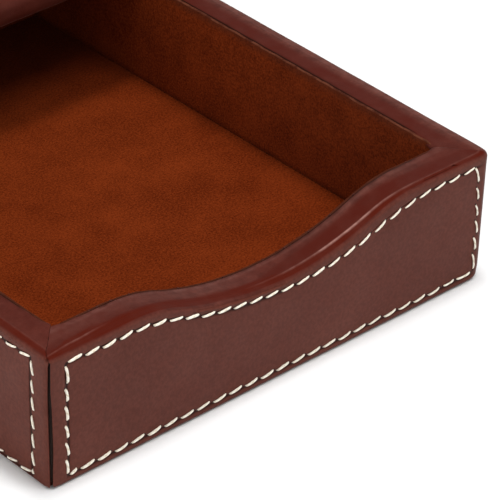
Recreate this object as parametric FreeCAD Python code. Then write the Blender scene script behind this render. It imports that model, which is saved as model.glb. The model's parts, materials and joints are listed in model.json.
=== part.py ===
import FreeCAD, Part
import math
import os

# Double letter tray covered in stitched leather. The lower tray slides on the desk, like a
# drawer, under a stand whose top board carries the upper tray.
# Millimetres. X runs across, Y from front to back and Z up. The origin is on the desk, in the
# middle of the whole thing as it stands with the lower tray pulled out.

Vec = FreeCAD.Vector

# Each tray
tray_width = 260.0
tray_length = 330.0
tray_height = 66.5
side_thickness = 16.8
end_thickness = 19.2
rim_outer_radius = 2.5
rim_inner_radius = 1.8
foot_radius = 2.6

# Leather, suede and felt
leather = 1.6
suede = 1.6
felt = 1.0
turn_in = 2.2
lining_gap = 0.2
seam_gap = 0.8

# Scoop in the front wall
scoop_half = 85.0
scoop_depth = 16.5
scoop_shoulder = 28.3

# Base board, rabbeted into the walls
base_thickness = 8.0
tongue_thickness = 4.0
tongue_length = 5.0
tongue_play = 0.4
glue_gap = 0.05

# Splines across the mitres
spline_width = 12.0
spline_thickness = 3.0
spline_height = 40.0
spline_inset = 15.0
spline_foot = 14.0

# Stand
pull_out = 225.0
rim_clearance = 2.0
side_clearance = 1.5
panel_core = 6.0
panel_felt = 0.9
board_thickness = 18.5
board_overhang = 2.5
nose_radius = 8.0
board_edge_radius = 3.5
board_turn_under = 20.0
panel_corner_radius = 2.6

# Runners on the lower tray's sides and the channels that they slide in
runner_height = 34.0
runner_half = 4.0
runner_length = 36.0
runner_inset = 20.0
runner_stands_out = 4.3
runner_bite = 5.0
runner_play = 0.3
channel_wall = 1.0
channel_depth = 4.4
channel_setback = 10.0
channel_tail = 8.0

# Tongues, tenons, bumpers and feet of the stand
tongue_strip = 3.0
tongue_rise = 12.0
tongue_end_inset = 25.0
tenon_length = 40.0
tenon_thickness = 6.0
tenon_bite = 6.0
tenon_inset_x = 40.0
tenon_inset_y = 60.0
bumper_radius = 6.0
bumper_thickness = 1.2
bumper_inset = 41.5
foot_inset = 1.2

# Slack when a point is compared with a place, and how far a cutting block reaches past a face
near = 1e-6
past = 1.0

# Worked out from the sizes above
panel_thickness = leather + panel_core + panel_felt
ledge = side_clearance + panel_thickness + board_overhang
bay_half = tray_width / 2 + side_clearance
panel_outer = bay_half + panel_thickness
board_half = panel_outer + board_overhang
board_length = tray_length + 2 * ledge
board_bottom = felt + tray_height + rim_clearance
board_top = board_bottom + board_thickness
whole_length = pull_out + board_length
lower_front = -whole_length / 2
stand_front = lower_front + pull_out
upper_front = stand_front + ledge
cheek_front = stand_front + board_overhang
cheek_back = stand_front + board_length - board_overhang
back_inner = cheek_back - panel_thickness
floor_top = base_thickness + suede
runner_front = tray_length - runner_inset - runner_length
channel_half = runner_half + runner_play + channel_wall
channel_front = cheek_front + channel_setback
channel_back = back_inner - channel_tail


def box(x, y, z):
    """Axis-aligned block from three (low, high) pairs."""
    return Part.makeBox(x[1] - x[0], y[1] - y[0], z[1] - z[0], Vec(x[0], y[0], z[0]))


def placed(shape, x, y, z, turn=0.0):
    """A copy turned about the Z axis, then moved."""
    copy = shape.copy()
    move = FreeCAD.Placement(Vec(x, y, z), FreeCAD.Rotation(Vec(0, 0, 1), turn))
    copy.Placement = move.multiply(shape.Placement)
    return copy


def middle(edge):
    """Point halfway along an edge."""
    return edge.valueAt((edge.FirstParameter + edge.LastParameter) / 2)


def runs_along(edge, direction):
    """Whether a straight edge runs along a direction of length one."""
    return abs(edge.tangentAt(edge.FirstParameter).dot(direction)) > 1 - near


def softened(solid, radius, drop, chosen):
    """Chosen edges rounded on a surface, or eased by a flat on the core a fixed depth under it."""
    edges = [edge for edge in solid.Edges if chosen(middle(edge), edge)]
    if drop:
        flat = (radius - drop) * (2 - math.sqrt(2))
        return solid.makeChamfer(flat, edges)
    return solid.makeFillet(radius, edges)


def arc_point(centre, radius, angle):
    """Point of a circle in the XZ plane, with the angle counted from straight down."""
    return centre + Vec(radius * math.sin(angle), 0, -radius * math.cos(angle))


def scoop_edges(drop):
    """Right half to left half of the scoop, a fixed depth inside the leather's surface."""
    angle = 2 * math.atan(scoop_depth / scoop_half)
    dip_radius = (scoop_half - scoop_shoulder) / math.sin(angle)
    shoulder_radius = scoop_shoulder / math.sin(angle)
    dip = Vec(0, 0, tray_height - scoop_depth + dip_radius)
    low_arc = dip_radius + drop
    top_arc = shoulder_radius - drop
    edges = []
    for side in (1, -1):
        shoulder = Vec(side * scoop_half, 0, tray_height - shoulder_radius)
        start = arc_point(shoulder, top_arc, math.pi)
        bend = arc_point(shoulder, top_arc, math.pi + side * angle / 2)
        end = arc_point(shoulder, top_arc, math.pi + side * angle)
        edges.append((start, bend, end))
    right, left = edges
    low = (right[2], arc_point(dip, low_arc, 0), left[2])
    chain = [right, low, tuple(reversed(left))]
    return [Part.Arc(*points).toShape() for points in chain]


def wall_outline(length, low, drop, scooped):
    """Face of a wall seen from the front, in the XZ plane."""
    half = length / 2
    high = tray_height - drop
    corners = [Vec(-half, 0, high), Vec(-half, 0, low), Vec(half, 0, low), Vec(half, 0, high)]
    lines = [Part.makeLine(a, b) for a, b in zip(corners, corners[1:])]
    if scooped:
        top = [Part.makeLine(corners[3], Vec(scoop_half, 0, high))]
        top += scoop_edges(drop)
        top += [Part.makeLine(Vec(-scoop_half, 0, high), corners[0])]
    else:
        top = [Part.makeLine(corners[3], corners[0])]
    return Part.Face(Part.Wire(lines + top))


def wall_slab(length, low, drop, front, back, scooped):
    """A wall's outline given a thickness, from one depth behind the wall's face to another."""
    face = wall_outline(length, low, drop, scooped)
    face.translate(Vec(0, front, 0))
    return face.extrude(Vec(0, back - front, 0))


def rounded_slab(length, drop, back, scooped):
    """The wall's solid a fixed depth under the leather's surface, with its rim and foot softened."""
    slab = wall_slab(length, drop, drop, drop, back, scooped)

    def rim(point):
        return point.z > tray_height / 2 and abs(point.x) < length / 2 - near

    def outer_rim(point, edge):
        return abs(point.y - drop) < near and rim(point)

    def inner_rim(point, edge):
        return abs(point.y - back) < near and rim(point)

    def foot(point, edge):
        return abs(point.y - drop) < near and abs(point.z - drop) < near

    slab = softened(slab, rim_outer_radius, drop, outer_rim)
    slab = softened(slab, rim_inner_radius, drop, inner_rim)
    return softened(slab, foot_radius, drop, foot)


def mitred(slab, wall, gap):
    """Both ends cut from outer to inner corner, with half of the gap left on this side."""
    length, thickness, across = wall
    slope = across / thickness
    half = length / 2 - gap / 2 * math.hypot(1, slope)
    reach = thickness + leather
    plan = [
        Vec(-half - leather * slope, -leather, -leather),
        Vec(half + leather * slope, -leather, -leather),
        Vec(half - reach * slope, reach, -leather),
        Vec(-half + reach * slope, reach, -leather),
    ]
    keep = Part.Face(Part.makePolygon(plan + plan[:1])).extrude(Vec(0, 0, 2 * tray_height))
    return slab.common(keep)


def tongue_groove(wall):
    """Groove along the inner face of a wall for the base board's tongue."""
    length, thickness, across = wall
    low = base_thickness - tongue_thickness - glue_gap
    depth = tongue_length + tongue_play
    half = length / 2 - (across - suede) + depth
    inner = thickness - suede
    y = (inner - depth, inner + past)
    return box((-half, half), y, (low, base_thickness + glue_gap))


def spline_block(grow):
    """Spline across the mitre at a tray's front left corner, with the corner at the origin."""
    wide = spline_width / 2 + grow
    thin = spline_thickness / 2 + grow
    block = box((-thin, thin), (-wide, wide), (spline_foot - grow, spline_foot + spline_height + grow))
    return placed(block, spline_inset / math.sqrt(2), spline_inset / math.sqrt(2), 0, 45)


def corner_cuts(length):
    """Both ends' spline slots in a wall's own frame."""
    slot = spline_block(glue_gap)
    left = placed(slot, -length / 2, 0, 0)
    return [left, mirrored(left)]


def wall_core(wall, scooped):
    length, thickness, across = wall
    core = rounded_slab(length, leather, thickness - suede, scooped)
    core = mitred(core, wall, 0)
    return core.cut([tongue_groove(wall)] + corner_cuts(length))


def wall_cover(wall, scooped):
    """Leather over the face, rim and foot of a wall, turned in a little way down the inside."""
    length, thickness, across = wall
    inner = thickness - suede
    skin = rounded_slab(length, 0, thickness, scooped)
    inside = rounded_slab(length, leather, inner, scooped)
    pocket = wall_slab(length, -past, turn_in, inner, thickness + past, scooped)
    return mitred(skin.cut([inside, pocket]), wall, seam_gap)


def wall_lining(wall, scooped):
    """Suede sheet on the inner face of a wall, below the turned-in leather."""
    length, thickness, across = wall
    inner = thickness - suede
    sheet = wall_slab(length, base_thickness, turn_in + lining_gap, inner, thickness, scooped)
    return mitred(sheet, wall, lining_gap)


def around(front, make, low):
    """The four walls made by one function and set round a tray whose front face is at front.

    A wall is given by its length, its thickness and the thickness of the walls it meets.
    """
    middle_y = front + tray_length / 2
    end = (tray_width, end_thickness, side_thickness)
    side = (tray_length, side_thickness, end_thickness)
    return {
        "front": placed(make(end, True), 0, front, low),
        "back": placed(make(end, False), 0, front + tray_length, low, 180),
        "left": placed(make(side, False), -tray_width / 2, middle_y, low, -90),
        "right": placed(make(side, False), tray_width / 2, middle_y, low, 90),
    }


def base_board():
    """Board inside the walls with a tongue all round, centred on the tray."""
    half_x = tray_width / 2 - (side_thickness - suede) - glue_gap
    half_y = tray_length / 2 - (end_thickness - suede) - glue_gap
    body = box((-half_x, half_x), (-half_y, half_y), (0, base_thickness))
    far_x = half_x + tongue_length
    far_y = half_y + tongue_length
    tongue = box((-far_x, far_x), (-far_y, far_y), (base_thickness - tongue_thickness, base_thickness))
    return body.fuse(tongue).removeSplitter()


def floor_lining():
    half_x = tray_width / 2 - side_thickness - lining_gap
    half_y = tray_length / 2 - end_thickness - lining_gap
    return box((-half_x, half_x), (-half_y, half_y), (base_thickness, floor_top))


def base_felt():
    """Felt over the whole underside, up to where the leather starts to round."""
    half_x = tray_width / 2 - foot_radius
    half_y = tray_length / 2 - foot_radius
    sheet = box((-half_x, half_x), (-half_y, half_y), (-felt, 0))

    def corner(point, edge):
        return runs_along(edge, Vec(0, 0, 1))

    return softened(sheet, foot_radius, 0, corner)


def corner_splines(front):
    """The four splines of a tray, mirrored from the front left one."""
    first = placed(spline_block(0), -tray_width / 2, front, 0)
    pair = [first, mirrored(first)]
    middle_y = Vec(0, front + tray_length / 2, 0)
    return pair + [one.mirror(middle_y, Vec(0, 1, 0)) for one in pair]


def runner(grow):
    """Runner let into the right wall of the lower tray, standing out of its leather."""
    face = tray_width / 2
    start = lower_front + runner_front
    half = runner_half + grow
    x = (face - runner_bite - grow, face + runner_stands_out)
    y = (start - grow, start + runner_length + grow)
    return box(x, y, (runner_height - half, runner_height + half))


def mirrored(solid):
    """The same solid on the other side of the middle plane."""
    return solid.mirror(Vec(0, 0, 0), Vec(1, 0, 0))


def tray(prefix, front, low):
    """Every piece that both trays have, as node name to shape."""
    middle_y = front + tray_length / 2
    pieces = {}
    for name, make in (("core", wall_core), ("cover", wall_cover), ("lining", wall_lining)):
        for side, wall in around(front, make, low).items():
            pieces[prefix + "_" + side + "_" + name] = wall
    pieces[prefix + "_base_board"] = placed(base_board(), 0, middle_y, low)
    pieces[prefix + "_floor_lining"] = placed(floor_lining(), 0, middle_y, low)
    splines = [placed(one, 0, 0, low) for one in corner_splines(front)]
    pieces[prefix + "_corner_splines"] = Part.makeCompound(splines)
    return pieces


def lower_tray():
    """The sliding tray, with felt under it and a runner let into each side wall."""
    pieces = tray("lower", lower_front, felt)
    pieces["lower_base_felt"] = placed(base_felt(), 0, lower_front + tray_length / 2, felt)
    housing = runner(glue_gap)
    for side, cut, strip in (
        ("right", housing, runner(0)),
        ("left", mirrored(housing), mirrored(runner(0))),
    ):
        for layer in ("core", "cover"):
            node = "lower_" + side + "_" + layer
            pieces[node] = pieces[node].cut(cut)
        pieces[side + "_runner"] = strip
    return pieces


def tray_tenons(grow):
    """Loose tenons that locate and hold the upper tray's base board on the top board."""
    low = board_top - leather - tenon_bite - grow
    high = board_top + tenon_bite + grow
    half_x = tenon_length / 2 + grow
    half_y = tenon_thickness / 2 + grow
    middle_x = tray_width / 2 - tenon_inset_x
    ends = (upper_front + tenon_inset_y, upper_front + tray_length - tenon_inset_y)
    tenons = []
    for y in ends:
        right = box((middle_x - half_x, middle_x + half_x), (y - half_y, y + half_y), (low, high))
        tenons += [right, mirrored(right)]
    return tenons


def cheek_tongues(grow):
    """Tongues along the tops of the cheeks, standing up into the top board."""
    middle_x = bay_half + panel_felt + panel_core / 2
    half = tongue_strip / 2 + grow
    x = (middle_x - half, middle_x + half)
    y = (cheek_front + tongue_end_inset - grow, cheek_back - tongue_end_inset + grow)
    z = (board_bottom - tongue_rise - grow, board_bottom + tongue_rise + grow)
    right = box(x, y, z)
    return [right, mirrored(right)]


def board_slab(drop):
    """Top board a fixed depth under its surface: full rolled nose, small round on other edges.

    Two long blocks cross: one is rounded at front and back and the other along its sides, so
    that the edges meet at the corners as folded leather does.
    """
    half = board_half - drop
    y = (stand_front + drop, stand_front + board_length - drop)
    z = (board_bottom + drop, board_top - drop)
    block = box((-half, half), y, z)

    def front_edges(point, edge):
        return abs(point.y - y[0]) < near and abs(point.x) < near

    def back_edges(point, edge):
        return abs(point.y - y[1]) < near and abs(point.x) < near

    def side_edges(point, edge):
        return abs(abs(point.x) - half) < near and runs_along(edge, Vec(0, 1, 0))

    lengthwise = softened(block, nose_radius, drop, front_edges)
    lengthwise = softened(lengthwise, board_edge_radius, drop, back_edges)
    return lengthwise.common(softened(block, board_edge_radius, drop, side_edges))


def board_underside(grow):
    """Recess in the leather under the top board, inside the turned-under margin."""
    half = board_half - board_turn_under - grow
    y = (stand_front + board_turn_under + grow, stand_front + board_length - board_turn_under - grow)
    return box((-half, half), y, (board_bottom, board_bottom + suede))


def board():
    """Top board of the stand: core, leather and underside lining."""
    slots = tray_tenons(glue_gap) + cheek_tongues(glue_gap)
    core = board_slab(leather)
    cover = board_slab(0).cut([core, board_underside(0)])
    return {
        "stand_board_core": core.cut(slots),
        "stand_board_cover": cover.cut(slots),
        "stand_board_lining": board_underside(lining_gap),
    }


def channel_space(grow):
    """Block that holds the right cheek's guide channel."""
    half = channel_half + grow
    x = (bay_half - grow, bay_half + channel_depth + grow)
    y = (channel_front - grow, channel_back + grow)
    return box(x, y, (runner_height - half, runner_height + half))


def guide_channel():
    """Brass channel, closed at its front end, where it stops the tray's runner."""
    inner = channel_half - channel_wall
    x = (bay_half - past, bay_half + channel_depth - channel_wall)
    y = (channel_front + channel_wall, channel_back + past)
    run = box(x, y, (runner_height - inner, runner_height + inner))
    return channel_space(0).cut(run)


def right_cheek():
    """Right side of the stand: core, leather outside, felt inside and the guide channel."""
    low = felt
    inside_x = (bay_half, panel_outer - leather)
    inside_y = (cheek_front + leather, cheek_back - leather)
    inside = box(inside_x, inside_y, (low + leather, board_bottom))
    skin = box((bay_half, panel_outer), (cheek_front, cheek_back), (low, board_bottom))

    def outer_corner(point, edge):
        return abs(point.x - panel_outer) < near and runs_along(edge, Vec(0, 0, 1))

    skin = softened(skin, panel_corner_radius, 0, outer_corner)
    lining_x = (bay_half, bay_half + panel_felt)
    lining = box(lining_x, (inside_y[0], back_inner), (low + leather, board_bottom))
    core_x = (bay_half + panel_felt, panel_outer - leather)
    core = box(core_x, inside_y, (low + leather, board_bottom))
    slot = channel_space(0)
    return {
        "core": core.cut([slot] + cheek_tongues(glue_gap)),
        "cover": skin.cut(inside),
        "lining": lining.cut(slot),
        "channel": guide_channel(),
    }


def cheeks():
    pieces = {}
    for name, solid in right_cheek().items():
        pieces["stand_right_" + name] = solid
        pieces["stand_left_" + name] = mirrored(solid)
    return pieces


def back_panel():
    """Back of the stand, between the cheeks: core, leather outside and below, felt inside."""
    half = bay_half - glue_gap
    low = felt
    core_y = (back_inner + panel_felt, cheek_back - leather)
    core = box((-half, half), core_y, (low + leather, board_bottom))
    lining = box((-half, half), (back_inner, core_y[0]), (low + leather, board_bottom))
    skin = box((-half, half), (back_inner, cheek_back), (low, board_bottom))
    inside = box((-half, half), (back_inner, core_y[1]), (low + leather, board_bottom))
    return {
        "stand_back_core": core,
        "stand_back_cover": skin.cut(inside),
        "stand_back_lining": lining,
    }


def stand_feet():
    """Felt strips under the cheeks and the back panel."""
    y = (cheek_front + foot_inset, cheek_back - foot_inset)
    right = box((bay_half + foot_inset, panel_outer - foot_inset), y, (0, felt))
    half = bay_half - foot_inset
    back = box((-half, half), (back_inner + foot_inset, cheek_back - foot_inset), (0, felt))
    return Part.makeCompound([right, back, mirrored(right)])


def rear_bumpers():
    """Felt discs on the back panel that the pushed-in tray meets."""
    discs = []
    middle_x = bay_half - bumper_inset
    for x in (-middle_x, middle_x):
        start = Vec(x, back_inner, runner_height)
        discs.append(Part.makeCylinder(bumper_radius, bumper_thickness, start, Vec(0, -1, 0)))
    return Part.makeCompound(discs)


def stand():
    pieces = {}
    pieces.update(board())
    pieces.update(cheeks())
    pieces.update(back_panel())
    pieces["cheek_tongues"] = Part.makeCompound(cheek_tongues(0))
    pieces["tray_tenons"] = Part.makeCompound(tray_tenons(0))
    pieces["stand_feet"] = stand_feet()
    pieces["rear_bumpers"] = rear_bumpers()
    return pieces


def upper_tray():
    """The fixed tray, with mortises in its base board for the tenons."""
    pieces = tray("upper", upper_front, board_top)
    pieces["upper_base_board"] = pieces["upper_base_board"].cut(tray_tenons(glue_gap))
    return pieces


def main():
    os.makedirs("parts", exist_ok=True)
    pieces = {}
    pieces.update(lower_tray())
    pieces.update(upper_tray())
    pieces.update(stand())
    for name, shape in sorted(pieces.items()):
        shape.exportStep("parts/" + name + ".step")
    push_in = upper_front - lower_front
    pull_further = lower_front + runner_front - channel_front - channel_wall
    print("nodes", len(pieces), "push in", push_in, "pull further", pull_further)


main()
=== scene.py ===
import bpy
import bmesh
import json
import math
import random
from mathutils import Matrix, Vector, noise


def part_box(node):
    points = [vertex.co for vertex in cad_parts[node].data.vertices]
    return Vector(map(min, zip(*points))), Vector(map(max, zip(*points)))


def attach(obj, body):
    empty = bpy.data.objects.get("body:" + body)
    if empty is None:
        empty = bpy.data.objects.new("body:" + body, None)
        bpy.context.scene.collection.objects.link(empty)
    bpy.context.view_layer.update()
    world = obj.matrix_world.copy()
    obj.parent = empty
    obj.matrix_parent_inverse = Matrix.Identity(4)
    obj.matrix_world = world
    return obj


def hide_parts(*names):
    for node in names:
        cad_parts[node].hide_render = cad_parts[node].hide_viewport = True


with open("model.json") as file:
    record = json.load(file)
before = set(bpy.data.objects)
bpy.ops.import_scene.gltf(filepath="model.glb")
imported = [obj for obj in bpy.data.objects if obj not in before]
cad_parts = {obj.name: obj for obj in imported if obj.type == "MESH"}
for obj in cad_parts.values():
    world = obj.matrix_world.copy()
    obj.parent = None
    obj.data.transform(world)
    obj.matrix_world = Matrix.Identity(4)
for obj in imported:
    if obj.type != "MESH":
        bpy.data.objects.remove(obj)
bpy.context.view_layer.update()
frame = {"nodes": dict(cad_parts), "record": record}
nodes = frame["nodes"]
mm = 0.001
print("frame loaded with", len(nodes), "parts")


# small helpers

def clamp(value, low=0.0, high=1.0):
    return max(low, min(high, value))


def smooth(value):
    t = clamp(value)
    return t * t * (3 - 2 * t)


def rise(value, start, reach):
    return smooth((value - start) / reach)


def fall(value, end, reach):
    return smooth((end - value) / reach)


def bump(value, centre, width):
    return smooth(1 - abs(value - centre) / width)


def ripple(x, y, z):
    return noise.noise(Vector((x, y, z)))


def between(x, points):
    # value at x on the line through the points
    if x <= points[0][0]:
        return points[0][1]
    for (x0, y0), (x1, y1) in zip(points, points[1:]):
        if x <= x1:
            return y0 + (y1 - y0) * (x - x0) / (x1 - x0)
    return points[-1][1]


def closeTo(a, b, slack=1e-5):
    return abs(a - b) < slack


def bothAt(a, b, place):
    return closeTo(a, place) and closeTo(b, place)


def within(value, low, high, slack=1e-5):
    return low - slack < value < high + slack


def spread(low, high, lines, step):
    # places from low to high, about a step apart but close together round each line
    beside = [d * mm for d in (0.25, 0.6, 1.05, 1.6, 2.4)]
    nearest = 0.12 * mm
    places = [low, high]
    for line in lines:
        places += [line - d for d in beside] + [line + d for d in beside]
    places = sorted(p for p in places if low <= p <= high)
    full = places[:1]
    for place in places[1:]:
        first = full[-1]
        if place - first < nearest:
            continue
        count = max(1, round((place - first) / step))
        full += [first + (place - first) * i / count for i in range(1, count + 1)]
    full[-1] = high
    return full


def boxOf(node):
    low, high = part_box(node)
    return Vector(low), Vector(high)


def turnedPlace(x, y, z, degrees):
    return Matrix.Translation((x, y, z)) @ Matrix.Rotation(math.radians(degrees), 4, "Z")


def settle(obj, matrix):
    obj.data.transform(matrix)
    obj.data.update()


def link(name, data):
    obj = bpy.data.objects.new(name, data)
    bpy.context.scene.collection.objects.link(obj)
    return obj


def handOver(piece, body, node=None):
    # the piece moves with its body, and may stand for the solid that it dresses
    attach(piece, body)
    if node:
        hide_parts(node)


# steps of modelling

def activate(obj):
    bpy.ops.object.select_all(action="DESELECT")
    obj.select_set(True)
    bpy.context.view_layer.objects.active = obj


def editMode(on):
    bpy.ops.object.mode_set(mode="EDIT" if on else "OBJECT")


def openPiece(name, scale=(1, 1, 1)):
    # the primitive just added, with its name and its size, open for editing
    piece = bpy.context.object
    piece.name = name
    piece.scale = scale
    bpy.ops.object.transform_apply(location=True, rotation=True, scale=True)
    editMode(True)
    return piece


def pickEdges(wanted):
    # leaves exactly the wanted edges of the open piece selected
    bpy.ops.mesh.select_mode(type="EDGE")
    bpy.ops.mesh.select_all(action="DESELECT")
    mesh = bpy.context.object.data
    shape = bmesh.from_edit_mesh(mesh)
    for edge in shape.edges:
        a, b = (v.co for v in edge.verts)
        if wanted(a, b):
            edge.select_set(True)
    bmesh.update_edit_mesh(mesh)


def extrudeEdges(wanted, *moves):
    pickEdges(wanted)
    for y, z in moves:
        bpy.ops.mesh.extrude_region_move(TRANSFORM_OT_translate={"value": (0, y, z)})


def bevelEdges(wanted, radius, segments):
    pickEdges(wanted)
    bpy.ops.mesh.bevel(offset=radius, segments=segments, profile=0.5, affect="EDGES")


def divideEdges(wanted, cuts):
    pickEdges(wanted)
    bpy.ops.mesh.subdivide(number_cuts=cuts)


def cutOut(wanted, margin=0.0):
    # takes the wanted faces out of the open piece, all but a margin along their outline
    bpy.ops.mesh.select_mode(type="FACE")
    bpy.ops.mesh.select_all(action="DESELECT")
    mesh = bpy.context.object.data
    shape = bmesh.from_edit_mesh(mesh)
    for face in shape.faces:
        if wanted(face.calc_center_median(), face.normal):
            face.select_set(True)
    bmesh.update_edit_mesh(mesh)
    if margin:
        bpy.ops.mesh.inset(thickness=margin)
    bpy.ops.mesh.delete(type="FACE")


def editAll(obj, action, **settings):
    activate(obj)
    editMode(True)
    bpy.ops.mesh.select_all(action="SELECT")
    action(**settings)
    editMode(False)


def turnFaces(sheet, spot, side):
    # turns the sheet over where its face at the spot doesn't look to the side, -1 front or 1 back
    face = min(sheet.data.polygons, key=lambda p: (p.center - Vector(spot)).length)
    if face.normal.y * side < 0:
        editAll(sheet, bpy.ops.mesh.flip_normals)


leatherShares = ("groove", "warm", "shadeBand", "pale", "blotchedShade")


def readShape(piece, shares=()):
    # the piece's mesh, and the shares of tones that its verts carry for its finish
    shape = bmesh.new()
    shape.from_mesh(piece.data)
    return shape, {key: shape.verts.layers.float.new(key) for key in shares}


def writeShape(piece, shape):
    shape.to_mesh(piece.data)
    shape.free()


def dress(piece, finish):
    piece.data.materials.clear()
    piece.data.materials.append(finish)


def finishSheet(sheet, thickness, finish, sharpest=None):
    activate(sheet)
    solid = sheet.modifiers.new("thickness", "SOLIDIFY")
    solid.thickness = thickness
    solid.offset = -1
    bpy.ops.object.modifier_apply(modifier=solid.name)
    if sharpest:
        bpy.ops.object.shade_smooth_by_angle(angle=math.radians(sharpest))
    else:
        bpy.ops.object.shade_smooth()
    dress(sheet, finish)


# finishes

def newFinish(name):
    finish = bpy.data.materials.new(name)
    finish.use_nodes = True
    tree = finish.node_tree
    return finish, tree, tree.nodes["Principled BSDF"]


def feed(tree, made, inputs):
    # an input takes a plain value or another node's output
    for key, value in inputs.items():
        if isinstance(value, bpy.types.NodeSocket):
            tree.links.new(value, made.inputs[key])
        else:
            made.inputs[key].default_value = value


def addNode(tree, kind, inputs=None, **settings):
    made = tree.nodes.new(kind)
    for key, value in settings.items():
        setattr(made, key, value)
    feed(tree, made, inputs or {})
    return made


def reckon(tree, operation, first, second=0.0):
    return addNode(tree, "ShaderNodeMath", {0: first, 1: second}, operation=operation).outputs[0]


def mixColours(tree, factor, first, second, blend="MIX"):
    inputs = {0: factor, 6: first, 7: second}
    return addNode(tree, "ShaderNodeMix", inputs, data_type="RGBA", blend_type=blend).outputs[2]


def multiply(tree, first, second):
    return mixColours(tree, 1.0, first, second, "MULTIPLY")


def ramp(tree, factor, stops, easing="LINEAR"):
    made = addNode(tree, "ShaderNodeValToRGB", {"Fac": factor})
    made.color_ramp.interpolation = easing
    elements = made.color_ramp.elements
    while len(elements) < len(stops):
        elements.new(0.5)
    for element, (place, colour) in zip(elements, stops):
        element.position = place
        element.color = colour
    return made.outputs["Color"]


def grey(value):
    return (value, value, value, 1)


def noiseOf(tree, place, scale, detail, roughness=0.5):
    inputs = {"Vector": place, "Scale": scale, "Detail": detail, "Roughness": roughness}
    return addNode(tree, "ShaderNodeTexNoise", inputs).outputs["Fac"]


def cloudy(tree, place, scale, detail, low, high, dark, light):
    # noise between two tones, all dark where it is low and all light where it is high
    share = ramp(tree, noiseOf(tree, place, scale, detail), [(low, grey(0)), (high, grey(1))])
    return mixColours(tree, share, dark, light)


def bumpOf(tree, height, strength, deep):
    inputs = {"Height": height, "Strength": strength, "Distance": deep * mm}
    return addNode(tree, "ShaderNodeBump", inputs).outputs[0]


def placeOf(tree):
    return addNode(tree, "ShaderNodeTexCoord").outputs["Object"]


def shareOf(tree, name):
    return addNode(tree, "ShaderNodeAttribute", attribute_name=name).outputs["Fac"]


# a pattern has its scale and detail, the noise of its dark and light spots, and their tones;
# a relief has its strength and its depth in mm
leatherLook = {
    "panel": (0.122, 0.0352, 0.0242, 1),
    "panelDark": (0.106, 0.0290, 0.0195, 1),
    # painted shade: darkens the rim's top and the leather inside the tray, which take more light than the
    # face; blotches vary it
    "blotchedShade": (0.88, 0.88, 0.94, 1),
    # warm: dark red; on the rims and the board's nose it is painted shade where the curve reflects no light
    "warm": (0.074, 0.0105, 0.0060, 1),
    # shade band: dark red painted shade on the rim's outer curve, which reflects no light
    "shadeBand": (0.080, 0.0078, 0.0026, 1),
    # pale: painted highlight on the creases and the rims, and on the board's nose
    "pale": (0.340, 0.170, 0.140, 1),
    # groove: painted shade in the stitch grooves and in the crevice along the suede
    "groove": (0.022, 0.0050, 0.0028, 1),
    "clouds": (26, 4, 0.35, 0.7),
    "mottle": (650, 4, 0.36, 0.66, grey(0.88), grey(1.12)),
    "blotches": (150, 4, 0.34, 0.66, (0.72, 0.70, 0.70, 1), grey(1.14)),
    "patches": (95, 3, 0.34, 0.60, grey(0.72), grey(1)),
    "specks": (210, 2, 0.40, 0.62, grey(0.5), grey(1)),
    "pores": 1400,
    "creases": (420, 3),
    "relief": (0.22, 0.12),
    "gloss": (70, 3),
    "roughness": [(0.3, grey(0.42)), (0.7, grey(0.54))],
    "specular": 0.08,
}


def leatherFinish(name, painted):
    # painted leather reads the shares of tones that its mesh carries, among them painted shade and painted
    # highlights
    look = leatherLook
    finish, tree, shader = newFinish(name)
    place = placeOf(tree)
    colour = cloudy(tree, place, *look["clouds"], look["panelDark"], look["panel"])
    colour = multiply(tree, colour, cloudy(tree, place, *look["mottle"]))
    if painted:
        blotchedShade = shareOf(tree, "blotchedShade")
        for tone in (look["blotchedShade"], cloudy(tree, place, *look["blotches"])):
            colour = multiply(tree, colour, mixColours(tree, blotchedShade, grey(1), tone))
        patches, specks = (cloudy(tree, place, *look[key]) for key in ("patches", "specks"))
        for key, pattern in (("warm", patches), ("shadeBand", patches), ("pale", specks)):
            share = multiply(tree, shareOf(tree, key), pattern)
            colour = mixColours(tree, share, colour, look[key])
        # painted shade in grooves and crevices
        colour = mixColours(tree, shareOf(tree, "groove"), colour, look["groove"])
    pores = addNode(tree, "ShaderNodeTexVoronoi", {"Vector": place, "Scale": look["pores"]})
    relief = reckon(tree, "ADD", pores.outputs["Distance"], noiseOf(tree, place, *look["creases"]))
    feed(tree, shader, {
        "Base Color": colour,
        "Normal": bumpOf(tree, relief, *look["relief"]),
        "Roughness": ramp(tree, noiseOf(tree, place, *look["gloss"]), look["roughness"]),
        "Specular IOR Level": look["specular"],
    })
    return finish


suedeLook = {
    "floor": ((0.080, 0.0095, 0.0013, 1), (0.190, 0.0290, 0.0050, 1)),
    "wall": ((0.120, 0.0155, 0.0022, 1), (0.310, 0.0510, 0.0092, 1)),
    # dim: painted shade for the lining's top edge and its front end
    "dim": (0.055, 0.0130, 0.0065, 1),
    "cut": (0.175, 0.056, 0.029, 1),
    "specks": (260, 2, 0.38, 0.60, grey(0), grey(1)),
    "nap": (1050, 3, 0.7),
    "napShare": 0.74,
    "brushed": (45, 5),
    "brushedShare": 0.26,
    "darkest": 0.38,
    "lightest": 0.62,
    "relief": (0.5, 0.3),
    "roughness": 0.95,
    "specular": 0.1,
    "sheen": 0.03,
    "sheenRoughness": 0.5,
    "sheenTint": (0.8, 0.40, 0.22, 1),
}


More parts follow.
